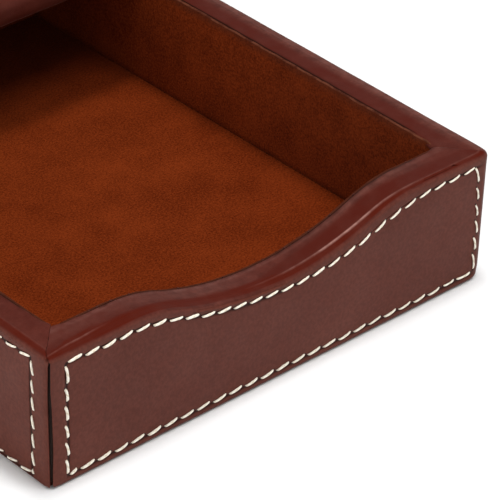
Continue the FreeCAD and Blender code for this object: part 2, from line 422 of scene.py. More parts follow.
def suedeFinish(name, tones, edged):
    # edged suede reads from its mesh its painted shade along the top and toward the front, and its pale cut
    # edge, which catches the light
    look = suedeLook
    finish, tree, shader = newFinish(name)
    place = placeOf(tree)
    nap = noiseOf(tree, place, *look["nap"])
    fine = reckon(tree, "MULTIPLY", nap, look["napShare"])
    broad = reckon(tree, "MULTIPLY", noiseOf(tree, place, *look["brushed"]), look["brushedShare"])
    dark, light = look[tones]
    stops = [(look["darkest"], dark), (look["lightest"], light)]
    colour = ramp(tree, reckon(tree, "ADD", fine, broad), stops)
    if edged:
        colour = mixColours(tree, shareOf(tree, "edge"), colour, look["dim"])
        share = multiply(tree, shareOf(tree, "pale"), cloudy(tree, place, *look["specks"]))
        colour = mixColours(tree, share, colour, look["cut"])
    feed(tree, shader, {
        "Base Color": colour,
        "Normal": bumpOf(tree, nap, *look["relief"]),
        "Roughness": look["roughness"],
        "Specular IOR Level": look["specular"],
        "Sheen Weight": look["sheen"],
        "Sheen Roughness": look["sheenRoughness"],
        "Sheen Tint": look["sheenTint"],
    })
    return finish


# felt, board, wood, brass, awl holes and fibres: light and dark tone, scale of the grain,
# roughness, and for some how the grain is stretched and whether it is metal
grainLooks = {
    "brownFelt": ((0.040, 0.024, 0.017, 1), (0.020, 0.011, 0.008, 1), 900, 0.95),
    # the boards are dark so that the open seams between the covers show painted shade
    "seamShadeBoard": ((0.035, 0.018, 0.012, 1), (0.018, 0.009, 0.006, 1), 300, 0.9),
    "planedBeech": ((0.60, 0.42, 0.24, 1), (0.45, 0.29, 0.15, 1), 120, 0.6, (1, 0.1, 1)),
    "satinBrass": ((0.78, 0.56, 0.26, 1), (0.70, 0.48, 0.20, 1), 500, 0.35, (1, 0.02, 1), 1.0),
    # awl holes: near-black discs that paint the shade inside each hole
    "awlHole": ((0.024, 0.008, 0.005, 1), (0.012, 0.004, 0.002, 1), 2000, 0.9),
    "raisedFibre": ((0.090, 0.022, 0.014, 1), (0.060, 0.012, 0.007, 1), 900, 0.8),
}


def grainFinish(name, light, dark, scale, roughness, stretch=(1, 1, 1), metal=0.0):
    # a noise between two tones with a bump of the same grain
    finish, tree, shader = newFinish(name)
    place = addNode(tree, "ShaderNodeMapping", {"Vector": placeOf(tree), "Scale": stretch}).outputs[0]
    grain = noiseOf(tree, place, scale, 5)
    feed(tree, shader, {
        "Base Color": ramp(tree, grain, [(0.35, dark), (0.65, light)]),
        "Normal": bumpOf(tree, grain, 0.35, 0.15),
        "Roughness": roughness,
        "Metallic": metal,
    })
    return finish


threadLook = {
    "light": (1.0, 0.93, 0.80, 1),
    "shade": (0.82, 0.70, 0.53, 1),
    "ends": (0.34, 0.22, 0.13, 1),
    "shadedEnds": [(0.01, grey(0.9)), (0.07, grey(0)), (0.93, grey(0)), (0.99, grey(0.9))],
    "turns": 3.0,
    "relief": (0.35, 0.10),
    "roughness": 0.65,
    "specular": 0.3,
}


def threadFinish(name):
    # waxed linen: two plies that wind round each other, with painted shade where they dive into the leather
    look = threadLook
    finish, tree, shader = newFinish(name)
    run = addNode(tree, "ShaderNodeUVMap", uv_map="run").outputs["UV"]
    parts = addNode(tree, "ShaderNodeSeparateXYZ", {"Vector": run}).outputs
    along, around = parts["X"], parts["Y"]
    phase = reckon(tree, "ADD", reckon(tree, "MULTIPLY", along, look["turns"]), around)
    ply = reckon(tree, "SINE", reckon(tree, "MULTIPLY", phase, 2 * math.pi))
    ply = addNode(tree, "ShaderNodeMapRange", {"Value": ply, "From Min": -1.0, "From Max": 1.0}).outputs[0]
    colour = ramp(tree, ply, [(0.0, look["shade"]), (0.4, look["light"])])
    feed(tree, shader, {
        "Base Color": mixColours(tree, ramp(tree, along, look["shadedEnds"]), colour, look["ends"]),
        "Normal": bumpOf(tree, ply, *look["relief"]),
        "Roughness": look["roughness"],
        "Specular IOR Level": look["specular"],
    })
    return finish


stitchedLeather = leatherFinish("stitchedLeather", True)
edgedSuede = suedeFinish("cutSuede", "wall", True)
thread = threadFinish("creamThread")
felt, board, beech, brass, holeDark, fibre = (grainFinish(name, *look) for name, look in grainLooks.items())
slotFinish = {
    "leather": leatherFinish("plainLeather", False),
    "suede": suedeFinish("brushedSuede", "floor", False),
    "felt": felt,
    "board": board,
    "hardwood": beech,
    "brass": brass,
}
for part in frame["record"]["subparts"]:
    dress(nodes[part["node"]], slotFinish[part["material_slot"]])
print("finishes mixed")


# leather over the tray walls

frontLow, frontHigh = boxOf("lower_front_cover")
sideLow, sideHigh = boxOf("lower_left_cover")
upperLow = boxOf("upper_front_cover")[0]
trayWidth = 2 * abs(sideLow.x)
trayLength = boxOf("lower_back_cover")[1].y - frontLow.y
endThickness = frontHigh.y - frontLow.y
sideThickness = sideHigh.x - sideLow.x

# most pairs are a place and the length over which something fades in or out there
wallSizes = {
    "height": frontHigh.z - frontLow.z,
    "rimOuter": 2.5 * mm,
    "rimInner": 1.8 * mm,
    "footTurn": 9.0 * mm,
    "turnIn": 2.2 * mm,
    "skived": 0.8 * mm,  # thickness of the leather
    "scoopHalf": 85.0 * mm,
    "scoopDepth": 16.5 * mm,
    "scoopShoulder": 28.3 * mm,
    "straightFoot": 8.0 * mm,  # the scoop leaves this much of the height as it is
    "straight": 22.0 * mm,  # that and the upper part, which goes down as a whole
    "straySpan": 16.0 * mm,  # the face follows the stitch line this far from it
    "strayEnd": 2.0 * mm,
    "foldDepth": 4.0 * mm,
    "faceStep": 3.2 * mm,
    "lengthStep": 2.6 * mm,
    "rimRows": 15,
    "creaseRows": (0.85 * mm, 0.4 * mm, 0.9 * mm),  # rows before, beside and after the crease
    "puffReach": 9.0 * mm,
    "edgePuff": 0.12 * mm,  # padding outside the stitches
    "edgeReach": 2.5 * mm,
    "groove": 0.32 * mm,  # how deep the stitches press the leather in
    "grooveReach": 1.15 * mm,
    "waves": ((0.10, 38), (0.03, 9)),  # height and length of the leather's waves, in mm
    "calmEnd": 6.0 * mm,  # padding and creases fade out this far from the wall's ends
    "ridge": 0.20 * mm,  # height of the crease
    "ridgeWidth": 0.75,
    "dip": 0.40 * mm,  # hollow of the rim outside its crease
    "dipLeast": 0.4,  # share of it that is left where the rim has no crease
    "dipStart": (0.2, 1.3),
    "dipEnd": 0.9,
    "lip": 0.45 * mm,  # how far the rim eases down into the seam
    "lipReach": 2.0 * mm,
    "lipInner": (6.0 * mm, 4.0 * mm),
    "footReach": 3.0 * mm,
    "hem": 0.95 * mm,  # how much lower than the board the leather hangs
    "hemTop": (9.0 * mm, 7.0 * mm),
    "hemEnd": 1.2 * mm,
    "ragged": 0.30 * mm,  # waves in the edge of the turned-in leather
    "raggedReach": 0.2 * mm,
    "bunch": 1.5 * mm,  # how far the leather bunches up in the tray's inner corners
    "bunchReach": 8.0 * mm,
    "bunchFrom": 0.55,
    "crevice": 2.0,  # the painted shade along the suede starts this far before the rim's inner edge
    "creviceStray": 0.4,
    "creviceReach": 0.7,
    "creviceEnd": (1.0 * mm, 5.0 * mm),
}

usualWall = {
    "scooped": False,
    "banded": False,  # painted highlight along the rim's outer side
    "puff": 0.30 * mm,  # padding inside the stitches
    "footRadius": 2.2 * mm,
    "footLift": 0.45 * mm,  # how far the foot eases up at the wall's ends
    # the next pairs are for the left and the right end, seen from outside
    "folds": (0.9 * mm, 0.9 * mm),  # radius with which the leather turns into the seam
    "round": (0.0, 0.0),  # radius of a worn corner of the tray
    "seam": (0.6, 0.6),  # how far the seam stands open, in mm
    "lapped": (0, 0),  # -1 laps over its neighbour at the rim, 1 lies under it
}
endWall = usualWall | {"length": trayWidth, "deep": endThickness, "across": sideThickness}
sideWall = usualWall | {"length": trayLength, "deep": sideThickness, "across": endThickness}

# stitch lines from the wall's underside, rim and ends, how full its inner corners are, how strong
# its crease is, and how light its suede is at the cut edge and to which side its painted shade deepens
wallKinds = {
    "front": endWall | {
        "scooped": True, "seed": 1.3, "foot": 3.9 * mm, "top": 5.3 * mm, "ends": (8.6 * mm, 8.1 * mm),
        "folds": (0.8 * mm, 0.8 * mm), "round": (0.0, 9.0 * mm), "seam": (1.15, 0.6),
        "lapped": (-1, 0), "plump": (1, 1), "cut": 0.1, "dimmed": 0,
    },
    "back": endWall | {
        "seed": 7.9, "foot": 4.3 * mm, "top": 4.9 * mm, "ends": (8.6 * mm, 8.6 * mm),
        "puff": 0.0, "plump": (0.4, 0.4), "creased": 0.5, "cut": 0.5, "dimmed": 0,
    },
    "left": sideWall | {
        "seed": 4.1, "foot": 1.3 * mm, "top": 5.3 * mm, "ends": (9.0 * mm, 12.0 * mm),
        "folds": (0.9 * mm, 0.8 * mm), "seam": (0.6, 1.15), "lapped": (0, 1), "plump": (0.4, 1),
        "footRadius": 0.9 * mm, "footLift": 0.9 * mm, "creased": 0.4, "cut": 0.1, "dimmed": 1,
    },
    "right": sideWall | {
        "seed": 12.7, "foot": 3.6 * mm, "top": 5.0 * mm, "ends": (9.0 * mm, 9.0 * mm),
        "round": (9.0 * mm, 0.0), "plump": (1, 0.4), "banded": True,
        "creased": 0.15, "cut": 0.5, "dimmed": -1,
    },
}

# the scooped rim, by places along the front wall in mm; what lies across it is in mm too
frontRim = {
    # where the crease is, how strong it is and how much painted highlight it carries
    "crease": [
        (-130, 3.3), (-119, 4.9), (-111, 5.2), (-102, 6.1), (-20, 5.2), (16, 4.9), (41, 4.8),
        (65, 4.3), (82, 3.4), (95, 3.3), (130, 3.4),
    ],
    "creaseShare": [
        (-130, 0.25), (-118, 0.55), (-106, 0.6), (-98, 0.1), (-94, 0), (-18, 0), (4, 0.5),
        (16, 0.85), (70, 1), (84, 0.6), (96, 0.3), (130, 0.25),
    ],
    "shine": [
        (-130, 0.5), (0, 0.45), (24, 0.4), (30, 1.1), (36, 1.6), (50, 1.6), (59, 0.9), (65, 0.45),
        (130, 0.45),
    ],
    # the band of painted shade on the rim's outer curve starts this far from the outer edge and ends this
    # far behind the crease
    "shadeBandOuter": [(-90, 0.2), (-60, 1.2), (-33, 1.9), (0, 1.0), (16, 0.2)],
    "shadeBandInner": [
        (-130, 0.5), (-118, 4.0), (-108, 3.5), (-100, 2.0), (-79, 1.5), (-60, 3.0), (-33, 4.5),
        (-10, 3.5), (8, 0.5),
    ],
    # least share of the warm tone, painted shade where the rim's curve reflects no light, and where the full
    # warm band ends
    "warm": [
        (-130, 0.75), (-100, 0.7), (-80, 0.45), (-40, 0.1), (0, 0.5), (20, 0.5), (60, 0), (98, 0.1),
        (115, 0.55), (130, 0.6),
    ],
    "warmEnd": [
        (-130, 7), (-90, 7.5), (-60, 7.5), (-10, 8.5), (15, 13), (70, 14), (90, 12), (130, 11),
    ],
    # how far the stitch line strays from the rim
    "stray": [
        (-70, 0), (-50, 0.5), (-30, 1.5), (-8, 1.4), (12, 0), (30, -1.0), (50, -2.2), (72, -2.0),
        (90, -0.4), (100, 0),
    ],
    # painted sheen on the rim's top
    "gleamIn": (0.12, 2.8, 2.2),  # a lighter line along the inner edge: share, place, width
    "gleamLeft": 0.055,  # and a lighter inner half left of the middle
    "gleamFrom": (8, 4),
    "gleamReach": 35.0 * mm,
}

# how the tones set in from a rim's outer edge, and fade out inside it, in mm
toneSizes = {
    "blotchedShade": (-0.8, 1.2),
    "warm": (-1.5, 2.5),
    "warmStart": 0.5,  # before the crease
    "warmEnd": (1.5, 3.0),
    "shadeBandStart": 1.0,
    "shadeBandEnd": 1.2,
}

# the straight rims, in mm across them
straightRim = {
    "crease": (4.4, 1.1),  # its place, and how far it wanders
    "creaseShare": (0.35, 1.3),
    "shine": 0.5,
    # the shade band is painted shade on the rim's outer curve
    "shadeBand": 0.9,
    "shadeBandOuter": 0.2,
    "shadeBandInner": 0.5,
    "warm": 0.6,
    "stitchStray": 0.35 * mm,
    # the banded rim: warm painted shade inside, a painted highlight outside, and a little warm shade near
    # the front
    "bandStart": 5.5,
    "bandReach": 3.5,
    "bandShade": 0.1,
    "bandGleam": (0.208, 1.9, 4.4),  # share, place, width
    "nearWarm": 0.58,
    "nearReach": 22.0 * mm,
}

# the corner seams, by shares of the rim's depth and of the wall's height, in mm
seamSizes = {
    "lap": [(0, 0.4), (0.12, 1.4), (0.3, 2.6), (0.6, 1.8), (1, 0.9)],
    "lapStray": 0.35,
    "lean": [(0.3, 0), (0.57, 0.45), (0.78, 0.9), (0.93, 1.15), (0.975, 0.5)],
    "tight": 0.12,
    "tightStray": 0.06,
    "closed": (0.985, 0.40),
    "narrow": (0.30, 0.30),
    "narrowShare": 0.35,
    "mouth": (5.0 * mm, 3.0 * mm),
    "lapFrom": 0.97,
    "least": 0.02 * mm,
    "pressed": 0.03 * mm,  # the leathers of the worn corner are pressed together
}

# how round the worn corner is, from the foot up
cornerTightness = [(0.05, 1), (0.7, 0.6), (1, 0.54)]


def atEnd(kind, key, x):
    return kind[key][1 if x > 0 else 0]


def alongFront(key, x):
    return between(x / mm, frontRim[key])


def rimDrop(x):
    # how far the scoop takes the rim down at a distance x from the middle
    size = wallSizes
    turn = 2 * math.atan(size["scoopDepth"] / size["scoopHalf"])
    dip = (size["scoopHalf"] - size["scoopShoulder"]) / math.sin(turn)
    shoulder = size["scoopShoulder"] / math.sin(turn)
    x = abs(x)
    if x >= size["scoopHalf"]:
        return 0.0
    if x <= dip * math.sin(turn):
        return size["scoopDepth"] - dip + math.sqrt(dip * dip - x * x)
    reach = size["scoopHalf"] - x
    return shoulder - math.sqrt(shoulder * shoulder - reach * reach)


def scoopDrop(x, z, high):
    size = wallSizes
    return rimDrop(x) * rise(z, size["straightFoot"], high - size["straight"])


def strayOf(kind, x):
    if kind["scooped"]:
        return alongFront("stray", x) * mm
    return straightRim["stitchStray"] * ripple(x * 30, kind["seed"], 9)


def creaseOf(kind, x):
    # distance of the rim's crease from the wall's face and its strength
    if kind["scooped"]:
        return alongFront("crease", x) * mm, alongFront("creaseShare", x)
    (place, wander), (share, change) = straightRim["crease"], straightRim["creaseShare"]
    place += wander * ripple(x * 14, kind["seed"], 1)
    share = clamp(share + change * ripple(x * 16, kind["seed"], 5))
    return place * mm, share * kind["creased"]


def rimRow(kind, index, crease):
    # place of a row across the rim: six up to its crease and just past it, then even ones
    low = wallSizes["rimOuter"]
    high = kind["deep"] - wallSizes["rimInner"]
    before, beside, after = wallSizes["creaseRows"]
    first = crease - before
    near = (low, low + (first - low) * 0.55, first, crease - beside, crease, crease + beside)
    if index < len(near):
        return near[index]
    share = (index - len(near)) / (wallSizes["rimRows"] - len(near) - 1)
    return crease + after + (high - crease - after) * share


def faceRows(kind):
    size = wallSizes
    lines = (kind["foot"], size["height"] - kind["top"])
    return spread(kind["footRadius"], size["height"] - size["rimOuter"], lines, size["faceStep"])


def quarterTurn(radius, degrees):
    # points of a fold at the wall's end: distance from the end and depth into the mitre
    turns = [math.radians(d) for d in degrees]
    return [(radius * (1 - math.cos(a)), radius * (1 - math.sin(a))) for a in turns]


def wallColumns(kind):
    # (place along the wall, depth into the mitre) for each column, folded in at both ends
    half = kind["length"] / 2
    deepest = wallSizes["foldDepth"]
    slope = kind["across"] / kind["deep"]
    ends = []
    for radius, corner in zip(kind["folds"], kind["round"]):
        if corner:
            turn = quarterTurn(corner, (45, 52, 59, 66, 74, 82, 90))
            ends.append([(away - depth * slope, depth) for away, depth in turn])
        else:
            turn = quarterTurn(radius, (18, 36, 54, 72, 90))
            ends.append([(0, deepest), (0, (deepest + radius) / 2), (0, radius)] + turn)
    low, high = -half + ends[0][-1][0], half - ends[1][-1][0]
    lines = (-half + kind["ends"][0], half - kind["ends"][1])
    inner = spread(low, high, lines, wallSizes["lengthStep"])
    left = [(-half + away, depth) for away, depth in ends[0][:-1]]
    right = [(half - away, depth) for away, depth in reversed(ends[1][:-1])]
    return left + [(x, 0) for x in inner] + right


def outward(kind, y, z):
    # outward direction of the wall's profile, from depth and height
    outer, inner, foot = wallSizes["rimOuter"], wallSizes["rimInner"], kind["footRadius"]
    high, wide = wallSizes["height"], kind["deep"]
    for radius, centreY, centreZ, sideY, sideZ in (
        (outer, outer, high - outer, -1, 1), (inner, wide - inner, high - inner, 1, 1),
        (foot, foot, foot, -1, -1),
    ):
        away = Vector((0, y - centreY, z - centreZ))
        if away.y * sideY >= 0 and away.z * sideZ >= 0 and away.length > radius * 0.5:
            return away.normalized()
    for value, place, direction in ((y, 0, (0, -1, 0)), (z, high, (0, 0, 1)), (z, 0, (0, 0, -1))):
        if closeTo(value, place, 1e-4):
            return Vector(direction)
    return Vector((0, 1, 0))


def overlap(share):
    # how far the scooped wall's leather laps over the side wall's, from the rim's outer edge in
    lap = between(share, seamSizes["lap"]) + seamSizes["lapStray"] * ripple(share * 9, 4, 1)
    return min(lap * mm, 0.9 * share * sideThickness)


def seamGap(kind, x, y, z):
    # the seams stand open below the rim, the front left one widest; the worn corner's is shut
    size = seamSizes
    if atEnd(kind, "round", x):
        return -size["pressed"]
    tight = size["tight"] + size["tightStray"] * ripple(y * 500, 1, 2)
    share = z / wallSizes["height"]
    opened = fall(share, *size["closed"]) * (1 - size["narrowShare"] * fall(share, *size["narrow"]))
    opened *= fall(y, *size["mouth"])
    gap = (tight + (atEnd(kind, "seam", x) - tight) * opened) * mm
    lapped = atEnd(kind, "lapped", x)
    if lapped == 0:
        return gap
    if share < size["lapFrom"]:
        return max(size["least"], gap + lapped * (between(share, size["lean"]) * mm))
    across = clamp(y / kind["deep"])
    if lapped < 0:
        return gap - overlap(across)
    for closer in range(4):
        across = clamp((y + overlap(across)) / kind["deep"])
    return gap + overlap(across) * kind["across"] / kind["deep"]


def lineDistance(kind, x, z):
    # distance inside (positive) or outside the rectangle of the stitch line
    half = kind["length"] / 2
    lowEnd, highEnd = kind["ends"]
    top = wallSizes["height"] - kind["top"]
    return min(x + half - lowEnd, half - highEnd - x, z - kind["foot"], top - z)


def wallSheet(name, kind, rows, columns):
    # the face, over the rim and down the inside, and in under the foot, cut evenly
    size = wallSizes
    high, deep, length = size["height"], kind["deep"], kind["length"]
    bpy.ops.mesh.primitive_plane_add(size=1, location=(0, 0, high / 2), rotation=(math.pi / 2, 0, 0))
    cover = openPiece(name, (length, high, 1))
    extrudeEdges(lambda a, b: bothAt(a.z, b.z, high), (deep, 0), (0, -size["turnIn"]))
    extrudeEdges(lambda a, b: bothAt(a.z, b.z, 0), (size["footTurn"], 0))
    for y, z, radius, segments in (
        (0, high, size["rimOuter"], 8), (deep, high, size["rimInner"], 6), (0, 0, kind["footRadius"], 6),
    ):
        bevelEdges(lambda a, b: bothAt(a.y, b.y, y) and bothAt(a.z, b.z, z), radius, segments)
    divideEdges(lambda a, b: bothAt(a.y, b.y, 0) and abs(a.z - b.z) > high / 2, rows - 2)
    divideEdges(lambda a, b: bothAt(a.z, b.z, high) and abs(a.y - b.y) > deep / 3, size["rimRows"] - 2)
    divideEdges(lambda a, b: abs(a.x - b.x) > length / 2, columns - 2)
    bpy.ops.mesh.select_all(action="SELECT")
    bpy.ops.mesh.normals_make_consistent(inside=False)
    editMode(False)
    return cover


def gridPlace(kind, spot, rows, columns):
    # where a vert of the evenly cut sheet belongs, and how deep in the mitre
    high, half = wallSizes["height"], kind["length"] / 2
    x, depth = columns[round((spot.x + half) / kind["length"] * (len(columns) - 1))]
    y, z = spot.y, spot.z
    if atEnd(kind, "round", x) and depth > 0:
        # the worn corner tightens from the foot up
        tighter = between(z / high, cornerTightness)
        x = math.copysign(half - (half - abs(x)) * tighter, x)
        depth *= tighter
    low, top = rows[0], rows[-1]
    if closeTo(y, 0) and within(z, low, top):
        z = rows[round((z - low) / (top - low) * (len(rows) - 1))]
    low, top = wallSizes["rimOuter"], kind["deep"] - wallSizes["rimInner"]
    if closeTo(z, high) and within(y, low, top):
        index = round((y - low) / (top - low) * (wallSizes["rimRows"] - 1))
        y = rimRow(kind, index, creaseOf(kind, x)[0])
    return x, y, z, depth


def faceRelief(kind, x, z):
    # padding of the face inside and outside its stitches, and the share of their groove
    size = wallSizes
    inside = lineDistance(kind, x, z)
    press = smooth(1 - abs(inside) / size["grooveReach"])
    if inside > 0:
        return kind["puff"] * smooth(inside / size["puffReach"]), press
    return size["edgePuff"] * smooth(-inside / size["edgeReach"]), press


def rimTones(kind, x, away, mark, ridge):
    # warm and shade-band shares of painted shade and pale shares of painted highlight, from the distance
    # across the rim and the crease's place in mm
    rim, tone = straightRim, toneSizes
    warm, edge, paintedGleam = rim["warm"], rim["shadeBand"], 0.0
    shadeBandOuter, shadeBandInner, shine = rim["shadeBandOuter"], rim["shadeBandInner"], rim["shine"]
    if kind["banded"]:
        share, place, width = rim["bandGleam"]
        edge, paintedGleam = rim["bandShade"], share * bump(away, place, width)
        warm = rise(away, rim["bandStart"] + ripple(x * 25, kind["seed"], 3), rim["bandReach"])
        nearEnd = rise(x, -kind["length"] / 2, rim["nearReach"])
        warm = rim["nearWarm"] + (warm - rim["nearWarm"]) * nearEnd
    if kind["scooped"]:
        keys = ("warm", "warmEnd", "shadeBandOuter", "shadeBandInner", "shine")
        warm, warmEnd, shadeBandOuter, shadeBandInner, shine = (alongFront(key, x) for key in keys)
        past, reach = tone["warmEnd"]
        band = rise(away, mark - tone["warmStart"], 1.0) * fall(away, warmEnd + past, reach)
        warm = max(band, warm)
        share, place, width = frontRim["gleamIn"]
        paintedGleam = share * bump(away, kind["deep"] / mm - place, width)
        toLeft = fall(x, 0, frontRim["gleamReach"])
        paintedGleam += frontRim["gleamLeft"] * rise(away, *frontRim["gleamFrom"]) * toLeft
    shadeBand = edge * rise(away, shadeBandOuter, tone["shadeBandStart"])
    shadeBand *= fall(away, mark + shadeBandInner, tone["shadeBandEnd"])
    return warm * rise(away, *tone["warm"]), shadeBand, max(ridge * shine, paintedGleam)


def creviceShare(kind, x, away):
    # painted shade in the crevice between the turned-in leather and the suede, but not in the corners
    size = wallSizes
    past, reach = size["creviceEnd"]
    corner = kind["length"] / 2 - kind["across"]
    edge = kind["deep"] / mm - size["crevice"] - size["creviceStray"] * ripple(x * 160, kind["seed"], 8)
    return fall(abs(x), corner + past, reach) * rise(away, edge, size["creviceReach"])


def easeEnds(kind, x, y, z, depth, out):
    # folded ends: the face turns into the seam, the rim and the foot only ease to it
    size = wallSizes
    corner = atEnd(kind, "round", x)
    if corner:
        y += depth * max(-out.y, fall(y, corner, corner))
    else:
        lip = size["lip"] * smooth(depth / size["lipReach"])
        y += depth * max(0, -out.y) ** 2
        z -= lip * max(0, out.z) * fall(y, *size["lipInner"])
    z += kind["footLift"] * smooth(depth / size["footReach"]) * max(0, -out.z)
    return y, z - size["hem"] * fall(z, *size["hemTop"]) * fall(abs(x), kind["length"] / 2, size["hemEnd"])


def wallCover(name, kind):
    size = wallSizes
    high, deep, seed = size["height"], kind["deep"], kind["seed"]
    half = kind["length"] / 2
    rows, columns = faceRows(kind), wallColumns(kind)
    (tall, long), (low, short) = size["waves"]
    cover = wallSheet(name, kind, len(rows), len(columns))
    shape, shares = readShape(cover, leatherShares)
    for vert in shape.verts:
        x, y, z, depth = gridPlace(kind, vert.co, rows, columns)
        out = outward(kind, y, z)
        # distance across the rim along the leather, from its outer edge in; away is in mm
        across = y + z - high if y < deep / 2 else y + high - z
        if y < deep / 2 and z < kind["footRadius"]:
            across = z - high - y
        crease, creaseShare = creaseOf(kind, x)
        away, mark = across / mm, crease / mm
        # padding, waves, stitch groove, and the rim's crease with the hollow outside it
        lift, press = faceRelief(kind, x, z) if out.y < -0.5 else (0.0, 0.0)
        spot = Vector((x, y, z)) / mm
        waves = tall * noise.noise(spot / long + Vector((seed, 0, 0)))
        waves += low * noise.noise(spot / short + Vector((0, seed, 0)))
        ridge = creaseShare * bump(away, mark, size["ridgeWidth"])
        hollow = rise(away, *size["dipStart"]) * fall(away, mark, size["dipEnd"])
        hollow *= size["dipLeast"] + (1 - size["dipLeast"]) * creaseShare
        calm = fall(abs(x), half, size["calmEnd"])
        lift = (lift + waves * mm) * calm - size["groove"] * press
        lift += (size["ridge"] * ridge - size["dip"] * hollow) * calm
        # painted shade bands and painted highlights across the rim
        warm, shadeBand, pale = rimTones(kind, x, away, mark, ridge)
        # painted shade in the stitch groove and the crevice
        groove = max(press, creviceShare(kind, x, away))
        # painted shade over the rim's top and down the inside
        blotchedShade = rise(away, *toneSizes["blotchedShade"])
        for key, share in zip(leatherShares, (groove, warm, shadeBand, pale, blotchedShade)):
            vert[shares[key]] = share
        y, z = easeEnds(kind, x, y + out.y * lift, z + out.z * lift, depth, out)
        if across > deep and z < high - size["turnIn"] + size["raggedReach"]:
            z += size["ragged"] * ripple(x * 75, seed, 3)
        # the leather bunches in the tray's inner corners
        corner = smooth(1 - (half - abs(x)) * (1 - kind["across"] / half) / size["bunchReach"])
        inward = rise(across, deep * size["bunchFrom"], deep * (1 - size["bunchFrom"]))
        y += size["bunch"] * atEnd(kind, "plump", x) * corner * inward
        # the mitre, and the scoop with its stitch line
        shrink = half - max(y, 0) * kind["across"] / deep - seamGap(kind, x, max(y, 0), z)
        x = x / half * shrink
        if kind["scooped"]:
            z -= scoopDrop(x, z, high)
            start = vert.co.z
            follow = bump(start, high - kind["top"], size["straySpan"])
            z += strayOf(kind, x) * follow * fall(start, high - size["rimOuter"], size["strayEnd"])
        vert.co = (x, y, z)
    writeShape(cover, shape)
    turnFaces(cover, (0, 0, high / 3), -1)
    finishSheet(cover, size["skived"], stitchedLeather)
    return cover


liningSizes = {
    "below": 0.25 * mm,  # the suede ends this far below the rim
    "start": 8.0 * mm,
    "tuck": 0.7 * mm,
    "step": 2.5 * mm,
    "cuts": 11,
    "fold": 1.3 * mm,
    "edge": 0.35 * mm,
    "thickness": 0.6 * mm,
    "stand": 0.38 * mm,  # how far the suede stands out past the turned-in leather
    "standRise": (20.0 * mm, 20.0 * mm),
    "waves": 0.12 * mm,
    "wavesRise": (12.0 * mm, 6.0 * mm),
    "ragged": 0.28 * mm,
    "raggedReach": 8.0 * mm,
    # painted shade toward the tray's front
    "dimmed": 0.28,
    "dimRise": (-40.0 * mm, 160.0 * mm),
    "edgeDim": 0.55 * mm,
    "edgeCut": 0.45 * mm,
    "edgeReach": 0.3 * mm,
}


def wallLining(name, kind):
    # suede on the inside of a wall; its cut upper edge catches the light
    size = liningSizes
    seed, deep, dimmed = kind["seed"], kind["deep"], kind["dimmed"]
    low, high = size["start"], wallSizes["height"] - size["below"]
    half = kind["length"] / 2 - kind["across"] + size["tuck"]
    middle = (0, deep, (low + high) / 2)
    bpy.ops.mesh.primitive_plane_add(size=1, location=middle, rotation=(-math.pi / 2, 0, 0))
    sheet = openPiece(name, (2 * half, high - low, 1))
    extrudeEdges(lambda a, b: bothAt(a.z, b.z, high), (-size["fold"], 0))
    bevelEdges(lambda a, b: bothAt(a.y, b.y, deep) and bothAt(a.z, b.z, high), size["edge"], 2)
    divideEdges(lambda a, b: abs(a.z - b.z) > (high - low) / 2, size["cuts"])
    divideEdges(lambda a, b: abs(a.x - b.x) > half, round(2 * half / size["step"]))
    editMode(False)
    shape, shares = readShape(sheet, ("pale", "edge"))
    for vert in shape.verts:
        x, y, z = vert.co
        # painted shade: darker along its top edge under the turned-in leather, and a little toward the
        # tray's front, where the front wall shades it
        dim = size["dimmed"] * rise(dimmed * x, *size["dimRise"]) * abs(dimmed)
        vert[shares["edge"]] = max(rise(z, high - size["edgeDim"], size["edgeReach"]), dim)
        vert[shares["pale"]] = kind["cut"] * rise(z, high - size["edgeCut"], size["edgeReach"])
        spot = Vector((x, seed * mm, z)) / mm
        if z > low + 0.1 * mm:
            y += size["stand"] * rise(z, *size["standRise"]) * (1 + 0.5 * noise.noise(spot / 17))
            y += size["waves"] * rise(z, *size["wavesRise"]) * noise.noise(spot / 12)
        ragged = rise(z, high - size["raggedReach"], size["raggedReach"])
        z += size["ragged"] * ragged * ripple(x * 190, seed, 6)
        if kind["scooped"]:
            z -= scoopDrop(x, z, high)
        vert.co = (x, y, z)
    writeShape(sheet, shape)
    turnFaces(sheet, (0, deep, high / 2), 1)
    finishSheet(sheet, size["thickness"], edgedSuede)
    return sheet


# each tray: the body it moves with, and the place and height of its front
trays = {
    "lower": ("lower_tray", frontLow.y, frontLow.z),
    "upper": ("stand", upperLow.y, upperLow.z),
}


def wallPlace(side, front, low):
    x, y, turn = {
        "front": (0, front, 0),
        "back": (0, front + trayLength, 180),
        "left": (-trayWidth / 2, front + trayLength / 2, -90),
        "right": (trayWidth / 2, front + trayLength / 2, 90),
    }[side]
    return turnedPlace(x, y, low, turn)


# what covers each wall: how it is made, the end of its node's name, and its slot
coverings = {
    "Leather": (wallCover, "_cover", "leather"),
    "Suede": (wallLining, "_lining", "suede"),
}
patterns = {}
for suffix, (make, node, slot) in coverings.items():
    for side, kind in wallKinds.items():
        patterns[side + suffix] = make(side + suffix + "Pattern", kind)
for trayName, (body, front, low) in trays.items():
    for side in wallKinds:
        for suffix, (make, node, slot) in coverings.items():
            piece = link(trayName + side.capitalize() + suffix, patterns[side + suffix].data.copy())
            settle(piece, wallPlace(side, front, low))
            handOver(piece, body, trayName + "_" + side + node)
print("walls covered and lined")


coreSizes = {
    "eased": 4.3 * mm,  # how much the worn corner takes off the boards, half way up
    "easedHeight": 33.0 * mm,
    "easedLean": 0.03,
}


